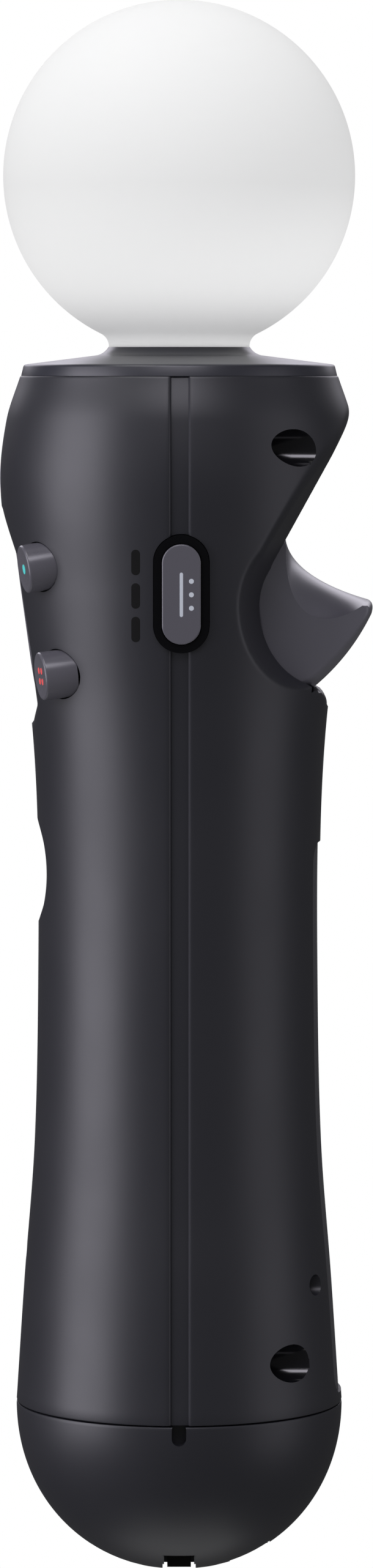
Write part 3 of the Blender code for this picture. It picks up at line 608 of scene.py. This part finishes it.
def make_collar():
    top = 155.57
    neck = [(8.2, top - 0.15), (8.35, top), (8.9, top)]
    sweep = arc((10.99, 156.73), 2.25, 211, 262.5, 12)
    shoulder = [(18.6, 153.5), (19.4, 153.41), (19.72, 153.34), (19.88, 153.23), (19.96, 153.06)]
    foot = [(20.24, 151.9), (20.2, 151.87), (17.2, 151.87), (17.2, 150.0), (8.2, 150.0)]
    return turned("collar_dish", neck + sweep + shoulder + foot, 240, ring=True)


def make_ball():
    centre = TOTAL - BALL_RADIUS
    fillet, neck, joint = 1.8, 9.0, 155.6
    reach = BALL_RADIUS + fillet
    drop = math.sqrt(reach**2 - (neck + fillet) ** 2)
    meet = math.degrees(math.acos((neck + fillet) / reach))
    outer = [(0, TOTAL)] + arc((0, centre), BALL_RADIUS, 90, -meet, 90)[1:]
    outer += arc((neck + fillet, centre - drop), fillet, 180 - meet, 180, 10)[1:]
    inside = BALL_RADIUS - 1.6
    mouth = math.degrees(math.acos(6.3 / inside))
    inner = [(neck, joint), (7.9, joint), (7.9, 151.0), (6.3, 151.0)]
    inner += arc((0, centre), inside, -mouth, 90, 40)[:-1] + [(0, centre + inside)]
    return turned("light_ball", outer + inner, 160)


# ---------------------------------------------------------------- trigger and keys

TRIGGER_HALF = 9.3
TRIGGER_PIVOT = (10.6, 128.6)


def curve_through(points, count):
    """A smooth curve: a Bezier of any order with the given control points."""
    order = len(points) - 1
    curve = []
    for i in range(count + 1):
        t = i / count
        weights = [math.comb(order, k) * t**k * (1 - t) ** (order - k) for k in range(order + 1)]
        curve.append(tuple(sum(w * p[a] for w, p in zip(weights, points)) for a in (0, 1)))
    return curve


def trigger_outline(middle):
    """The trigger seen from the side: at its middle, or at its low, rounded flanks."""
    hub = arc(TRIGGER_PIVOT, 2.38, 215, 90, 8)
    if middle:
        finger = curve_through([(13.6, 131.1), (14.3, 126.2), (24.2, 123.25)], 30)
        tip = curve_through([(24.2, 123.25), (25.0, 122.95), (24.6, 121.6)], 8)
        belly = curve_through([(24.6, 121.6), (22.0, 116.1), (17.25, 112.15)], 20)
    else:
        finger = curve_through([(13.2, 131.0), (12.5, 119.6), (18.6, 118.8), (23.8, 122.8)], 30)
        tip = curve_through([(23.8, 122.8), (24.35, 122.5), (23.7, 121.3)], 8)
        belly = curve_through([(23.7, 121.3), (20.8, 117.1), (16.3, 113.3)], 20)
    inside = [(14.7, 112.6), (11.7, 115.3), (10.3, 118.6), (9.7, 122.5), (9.0, 126.7)]
    return finger + tip[1:] + belly[1:] + inside + hub


def make_trigger():
    """A crowned finger surface: sections from flank to flank between the two outlines."""
    middle, flank = np.array(trigger_outline(True)), np.array(trigger_outline(False))
    heart = middle.mean(axis=0)
    share = np.concatenate([np.linspace(0, 0.94, 34), [0.957, 0.972, 0.984, 0.993, 0.998, 1.0]])
    drawn_in = [0.0] * 34 + [0.04, 0.11, 0.2, 0.32, 0.46, 0.62]
    sections = []
    for part, inset in zip(share, drawn_in):
        section = middle + (flank - middle) * part**2.3
        away = section - heart
        section = section - away / np.linalg.norm(away, axis=1)[:, None] * inset
        sections.append([(part * TRIGGER_HALF, y, z) for y, z in section])
    mirrored = [[(-x, y, z) for x, y, z in section] for section in sections[:0:-1]]
    grid = mirrored + sections
    rows, columns = len(grid), len(grid[0])
    points = [p for section in grid for p in section]
    faces = grid_faces(rows, columns, True)
    faces += [tuple(range(columns)), tuple(range((rows - 1) * columns, rows * columns))]
    trigger = add_mesh("trigger_shell", points, faces, 40)
    y, z = TRIGGER_PIVOT
    trigger = boolean(trigger, block((-3.2, y - 3.2, z - 3.2), (3.2, y + 2.3, z + 3.2)))
    trigger = boolean(trigger, rod(1.3, (-12, y, z), (12, y, z), 32))
    trigger.name = trigger.data.name = "trigger_skin"
    return trigger


def key_profile(radius, edge, depth, dish=0.0):
    """A round key with its face at 0: a slightly dished face, a round edge and a plain skirt."""
    face = [(0, -dish)] + [(radius * t, -dish * (1 - t * t)) for t in (0.2, 0.4, 0.6, 0.75)]
    face += [(radius - edge - 0.15, -dish * 0.1)]
    return face + arc((radius - edge, -edge), edge, 88, 0, 8) + [(radius, -depth), (0, -depth)]


def make_action_keys():
    keys = []
    for level, face, height, tilt in ACTION_KEYS:
        for side, hand in ((-1, "left"), (1, "right")):
            node = f"action_button_{level}_{hand}"
            place = action_place(side, face, height, tilt)
            profile = key_profile(ACTION_RADIUS, 0.32, ACTION_DEPTH[level], 0.12)
            key = turned(f"{node}_skin", profile, 96, place)
            mark = make_mark(node, level, hand)
            mark.data.transform(place)
            keys.append((node, key, mark))
    return keys


def make_mark(node, level, hand):
    """One to four small pips, a plain print that tells the keys apart."""
    spots = PIPS[(level, hand)][0]
    dots = []
    for i in range(spots):
        angle = 2 * math.pi * i / spots + math.radians(45)
        reach = 0.0 if spots == 1 else 0.95
        size = 0.62 if spots == 1 else 0.42
        dot = turned("dot", [(0, 0.012), (size, 0.012), (size, -0.3), (0, -0.3)], 32)
        shift = Vector((reach * math.cos(angle), reach * math.sin(angle), -0.085)) * MM
        dot.data.transform(Matrix.Translation(shift))
        dots.append(dot)
    return join(f"{node}_mark", dots)


def make_move_key():
    place = move_place()
    key = prism("move_button_skin", rounded(*MOVE_SIZE, 5.5, 16), -5.0, 0.05, place)
    return bevel(key, 0.6, 6)


def make_home_key():
    profile = key_profile(HOME_RADIUS, 0.4, 4.6, 0.25)
    return turned("home_button_skin", profile, 96, place_at(0, -16.5, HOME_Z, FACING_FRONT))


def make_side_parts(side, name):
    place = side_place(side)
    bezel = prism(f"{name}_bezel_skin", capsule(*SIDE_BEZEL, 24), -2.9, 0.1, place)
    hole = prism("hole", capsule(SIDE_BUTTON[0] + 0.24, SIDE_BUTTON[1] + 0.24, 24), -2.5, 6, place)
    bezel = boolean(bezel, hole)
    bezel.name = bezel.data.name = f"{name}_bezel_skin"
    key = prism(f"{name}_button_skin", capsule(*SIDE_BUTTON, 24), -1.9, 0.4, place)
    bevel(key, 0.16, 3)
    marks = [prism("bar", capsule(0.42, 5.6, 8), 0.2, 0.413)]
    for i in (-1, 0, 1):
        marks.append(prism("dot", shifted(capsule(0.62, 0.63, 8), 1.25, i * 1.7), 0.2, 0.413))
    mark = join(f"{name}_button_mark", marks)
    mark.data.transform(place)
    return bezel, key, mark


def make_side_print(side, name):
    """Three dark dashes printed on the case in front of the side button."""
    dashes = []
    for height in (120.3, 124.5, 128.7):
        dash = prism("dash", shifted(capsule(1.1, 3.2, 8), -5.4, height), 17, 26, SIDE_CUT)
        dash = boolean(dash, grip_solid(-0.012, 200, 120), "INTERSECT")
        dashes.append(dash)
    marks = join(f"{name}_print", dashes)
    if side < 0:
        marks.data.transform(Matrix.Scale(-1, 4, (1, 0, 0)))
        marks.data.flip_normals()
    return marks


def make_pin():
    low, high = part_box("trigger_pin")
    centre = (low + high) / 2 / MM
    half = (high[0] - low[0]) / 2 / MM
    start, end = (-half, centre[1], centre[2]), (half, centre[1], centre[2])
    pin = bevel(rod(1.0, start, end, 48), 0.15, 2)
    pin.name = pin.data.name = "trigger_pin_skin"
    return pin


def make_reset_key():
    place = place_at(RESET[0], 15.6, RESET[1], FACING_REAR)
    return turned("reset_button_skin", key_profile(0.97, 0.15, 3.5), 32, place)


# ---------------------------------------------------------------- materials


def new_material(name, color, roughness, metallic=0.0):
    material = bpy.data.materials.new(name)
    material.use_nodes = True
    shader = material.node_tree.nodes["Principled BSDF"]
    shader.inputs["Base Color"].default_value = (*color, 1)
    shader.inputs["Roughness"].default_value = roughness
    shader.inputs["Metallic"].default_value = metallic
    return material, shader


def grain(material, shader, scale, depth, roughness=None, spread=0.06):
    """A fine moulded grain, and a slow change of roughness over the surface."""
    tree = material.node_tree
    where = tree.nodes.new("ShaderNodeTexCoord")
    noise = tree.nodes.new("ShaderNodeTexNoise")
    noise.inputs["Scale"].default_value = scale
    noise.inputs["Detail"].default_value = 3.0
    bump = tree.nodes.new("ShaderNodeBump")
    bump.inputs["Strength"].default_value = 1.0
    bump.inputs["Distance"].default_value = depth * MM
    tree.links.new(where.outputs["Object"], noise.inputs["Vector"])
    tree.links.new(noise.outputs["Fac"], bump.inputs["Height"])
    tree.links.new(bump.outputs["Normal"], shader.inputs["Normal"])
    if roughness is None:
        return
    slow = tree.nodes.new("ShaderNodeTexNoise")
    slow.inputs["Scale"].default_value = 60.0
    slow.inputs["Detail"].default_value = 4.0
    levels = tree.nodes.new("ShaderNodeMapRange")
    levels.inputs["From Min"].default_value = 0.3
    levels.inputs["From Max"].default_value = 0.7
    levels.inputs["To Min"].default_value = roughness - spread / 2
    levels.inputs["To Max"].default_value = roughness + spread / 2
    tree.links.new(where.outputs["Object"], slow.inputs["Vector"])
    tree.links.new(slow.outputs["Fac"], levels.inputs["Value"])
    tree.links.new(levels.outputs["Result"], shader.inputs["Roughness"])


def plastic(name, color, roughness, depth=0.004, scale=2600.0):
    material, shader = new_material(name, color, roughness)
    grain(material, shader, scale, depth, roughness)
    return material


def matte_black(name, color, roughness):
    material, shader = new_material(name, color, roughness)
    shader.inputs["Specular IOR Level"].default_value = 0.12
    return material


def make_materials():
    looks = {
        "case": plastic("case", (0.0105, 0.0108, 0.0145), 0.43),
        "collar": plastic("collar", (0.014, 0.0145, 0.02), 0.36, 0.001),
        "keys": plastic("keys", (0.058, 0.056, 0.067), 0.27, 0.002),
        "trigger": plastic("trigger", (0.062, 0.06, 0.073), 0.33, 0.002),
        "black_part": plastic("black_part", (0.02, 0.02, 0.02), 0.6),
        "membrane": plastic("membrane", (0.1, 0.1, 0.1), 0.7),
        "label": plastic("label", (0.03, 0.03, 0.035), 0.5, 0.002),
    }
    looks["bezel"] = matte_black("bezel", (0.002, 0.002, 0.0025), 0.3)
    looks["steel"] = new_material("steel", (0.55, 0.55, 0.56), 0.28, 1.0)[0]
    # painted shade: the contacts are near black so they look as dark as the shaded pocket they sit in
    looks["contact"] = new_material("contact", (0.025, 0.024, 0.023), 0.4, 1.0)[0]
    looks["board"] = new_material("board", (0.02, 0.12, 0.05), 0.45)[0]
    looks["battery"] = new_material("battery", (0.05, 0.07, 0.14), 0.35)[0]
    # painted shade: near black for the shaded insides of the screw bores; the low roughness is their real
    # gloss
    looks["bore"] = new_material("bore", (0.004, 0.004, 0.005), 0.16)[0]
    looks["dark_print"] = matte_black("dark_print", (0.003, 0.003, 0.003), 0.6)
    looks["print"] = new_material("print", (0.32, 0.34, 0.38), 0.45)[0]
    looks["pip_teal"] = new_material("pip_teal", (0.05, 0.42, 0.4), 0.45)[0]
    looks["pip_red"] = new_material("pip_red", (0.55, 0.06, 0.06), 0.45)[0]
    looks["pip_pink"] = new_material("pip_pink", (0.55, 0.2, 0.35), 0.45)[0]
    looks["pip_blue"] = new_material("pip_blue", (0.1, 0.2, 0.55), 0.45)[0]
    looks["indicator"] = new_material("indicator", (0.3, 0.02, 0.02), 0.15)[0]
    looks["emitter"] = new_material("emitter", (0.9, 0.85, 0.6), 0.2)[0]
    looks["diffuser"] = new_material("diffuser", (0.85, 0.85, 0.85), 0.6)[0]
    ball, shader = new_material("ball", (0.9, 0.9, 0.905), 0.62)
    shader.inputs["Subsurface Weight"].default_value = 1.0
    shader.inputs["Subsurface Radius"].default_value = (1.0, 1.0, 1.0)
    shader.inputs["Subsurface Scale"].default_value = 1.5 * MM
    shader.inputs["Specular IOR Level"].default_value = 0.25
    grain(ball, shader, 1500.0, 0.003)
    # painted glow: the ball's shaded lower half and neck are lit by emission
    painted_glow_in_ball_neck(ball, shader)
    looks["ball"] = ball
    return looks


def painted_glow_in_ball_neck(material, shader):
    """Painted glow: an emission, strongest at the neck and gone by the ball's middle, that brightens the
    shaded lower half and neck in place of light carried through the soft ball.
    """
    tree = material.node_tree
    where = tree.nodes.new("ShaderNodeTexCoord")
    split = tree.nodes.new("ShaderNodeSeparateXYZ")
    fade = tree.nodes.new("ShaderNodeMapRange")
    fade.inputs["From Min"].default_value = 155.6 * MM
    fade.inputs["From Max"].default_value = 176.0 * MM
    fade.inputs["To Min"].default_value = 0.31
    fade.inputs["To Max"].default_value = 0.0
    shader.inputs["Emission Color"].default_value = (1, 1, 1, 1)
    tree.links.new(where.outputs["Object"], split.inputs["Vector"])
    tree.links.new(split.outputs["Z"], fade.inputs["Value"])
    tree.links.new(fade.outputs["Result"], shader.inputs["Emission Strength"])


looks = make_materials()
PIPS = {  # number and look
    ("upper", "right"): (1, "pip_teal"),
    ("upper", "left"): (2, "pip_pink"),
    ("lower", "left"): (3, "pip_blue"),
    ("lower", "right"): (4, "pip_red"),
}


def dress(thing, look, body="root"):
    """Gives a piece its look and the body it rides on."""
    thing.data.materials.clear()
    thing.data.materials.append(looks[look])
    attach(thing, body)
    return thing


# ---------------------------------------------------------------- pieces in place


def place_pieces():
    singles = (
        (make_front_case, "case", "root", "front_case"),
        (make_rear_case, "case", "root", "rear_case"),
        (make_end_cap, "case", "root", "end_cap"),
        (make_collar, "collar", "root", "sphere_collar"),
        (make_ball, "ball", "root", "light_sphere"),
        (make_rear_label, "label", "root", "rear_label_plate"),
        (make_move_key, "keys", "move_button", "move_button"),
        (make_home_key, "keys", "home_button", "home_button"),
        (make_reset_key, "keys", "reset_button", "reset_button"),
        (make_pin, "steel", "root", "trigger_pin"),
    )
    for make, look, body, node in singles:
        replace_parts(dress(make(), look, body), node)
    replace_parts(dress(make_trigger(), "trigger", "trigger"), "trigger")
    for node, key, mark in make_action_keys():
        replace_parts(dress(key, "keys", node), node)
        _, _, level, hand = node.split("_")
        dress(mark, PIPS[(level, hand)][1], node)
    for side, name in ((1, "start"), (-1, "select")):
        bezel, key, mark = make_side_parts(side, name)
        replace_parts(dress(bezel, "bezel"), f"{name}_bezel")
        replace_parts(dress(key, "keys", f"{name}_button"), f"{name}_button")
        dress(mark, "print", f"{name}_button")
        dress(make_side_print(side, name), "dark_print", "root")


def gloss_and_painted_shade_in_bores():
    """The screw bores are glossy inside and coloured near black, painted shade for the deep holes."""
    mesh = bpy.data.objects["rear_housing"].data
    mesh.materials.append(looks["bore"])
    for face in mesh.polygons:
        x, y, z = face.center / MM
        for bore_x, bore_z, radius in SCREWS:
            if math.hypot(abs(x) - bore_x, z - bore_z) < radius + 0.02 and y > SCREW_LEDGE - 0.1:
                face.material_index = 1


place_pieces()
gloss_and_painted_shade_in_bores()

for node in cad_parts.values():
    if not node.hide_render:
        slot_name = node.data.materials[0].name.split(".")[0]
        node.data.materials.clear()
        node.data.materials.append(looks[slot_name])


# ---------------------------------------------------------------- light, floor and camera

CAMERA_PLACE = Vector((0.761, 0.00094, 0.153))
PICTURE_HEIGHT = 0.2007  # metres that the picture spans at the object's axis
PICTURE_FOOT = -0.0007  # the height at its lower edge


def aim(thing, target):
    thing.rotation_euler = (Vector(target) - thing.location).to_track_quat("-Z", "Y").to_euler()


def add_light(name, place, target, width, height, power, color):
    light = bpy.data.lights.new(name, "AREA")
    light.shape = "RECTANGLE"
    light.size = width
    light.size_y = height
    light.energy = power
    light.color = color
    lamp = bpy.data.objects.new(name, light)
    lamp.location = place
    bpy.context.scene.collection.objects.link(lamp)
    aim(lamp, target)
    return lamp


def make_world():
    """White behind the object, a softer grey in its reflections and an even fill on matte surfaces."""
    world = bpy.data.worlds.new("studio")
    world.use_nodes = True
    bpy.context.scene.world = world
    tree = world.node_tree
    tree.nodes.clear()
    path = tree.nodes.new("ShaderNodeLightPath")
    last = None
    for name, level, output in (
        ("fill", 0.78, None),
        ("reflected", 0.07, "Is Glossy Ray"),
        ("seen", 1.0, "Is Camera Ray"),
    ):
        background = tree.nodes.new("ShaderNodeBackground")
        background.name = name
        background.inputs["Color"].default_value = (1, 1, 1, 1)
        background.inputs["Strength"].default_value = level
        if output is None:
            last = background.outputs["Background"]
            continue
        mix = tree.nodes.new("ShaderNodeMixShader")
        tree.links.new(path.outputs[output], mix.inputs["Fac"])
        tree.links.new(last, mix.inputs[1])
        tree.links.new(background.outputs["Background"], mix.inputs[2])
        last = mix.outputs["Shader"]
    output = tree.nodes.new("ShaderNodeOutputWorld")
    tree.links.new(last, output.inputs["Surface"])


def make_camera():
    camera = bpy.data.cameras.new("camera")
    camera.sensor_width = 36
    camera.sensor_fit = "AUTO"
    camera.lens = camera.sensor_width * CAMERA_PLACE.x / PICTURE_HEIGHT
    camera.shift_y = (PICTURE_FOOT + PICTURE_HEIGHT / 2 - CAMERA_PLACE.z) / PICTURE_HEIGHT
    camera.clip_start = 0.01
    eye = bpy.data.objects.new("camera", camera)
    eye.location = CAMERA_PLACE
    bpy.context.scene.collection.objects.link(eye)
    aim(eye, (0, CAMERA_PLACE.y, CAMERA_PLACE.z))
    bpy.context.scene.camera = eye


def make_floor():
    """A plain pale floor that stays out of reflections."""
    disc = turned("floor", [(0, -1.0), (3000, -1.0)], 64)
    material = bpy.data.materials.new("floor")
    material.use_nodes = True
    tree = material.node_tree
    tree.nodes.clear()
    glow = tree.nodes.new("ShaderNodeEmission")
    output = tree.nodes.new("ShaderNodeOutputMaterial")
    tree.links.new(glow.outputs["Emission"], output.inputs["Surface"])
    disc.data.materials.append(material)
    disc.visible_diffuse = False
    disc.visible_glossy = False
    disc.visible_shadow = False


def spare_the_ball(*lamps):
    """The softboxes shape the dark grip only; the ball has its own light from above."""
    spared = bpy.data.collections.new("spared")
    spared.objects.link(bpy.data.objects["light_ball"])
    spared.collection_objects[0].light_linking.link_state = "EXCLUDE"
    for lamp in lamps:
        lamp.light_linking.receiver_collection = spared


VIOLET = (0.93, 0.9, 1.0)
WHITE = (1, 1, 1)
LIGHTS = (  # name, place, aimed at, width, height, power, colour
    ("left_softbox", (0.27, -0.75, 0.19), (0, 0, 0.1), 0.6, 0.78, 7.0, VIOLET),
    ("right_softbox", (0.25, 0.76, 0.12), (0, 0, 0.1), 0.5, 0.9, 1.3, VIOLET),
    ("back_softbox", (-0.55, 0.0, 0.42), (0, 0, 0.15), 0.9, 0.35, 2.5, VIOLET),
    ("front_softbox", (0.5, 0.0, 0.72), (0, 0, 0.15), 0.4, 0.25, 2.4, VIOLET),
    ("overhead", (0.3, -0.35, 0.95), (0, 0, 0.16), 0.4, 0.4, 2.4, WHITE),
    ("bounce", (-0.06, 0, -0.36), (0, 0, 0.02), 0.3, 0.3, 0.2, WHITE),
)

make_world()
make_camera()
make_floor()
lamps = [add_light(*light) for light in LIGHTS]
spare_the_ball(*[lamp for lamp in lamps if lamp.name.endswith("softbox")])
bpy.context.scene.view_settings.view_transform = "Standard"
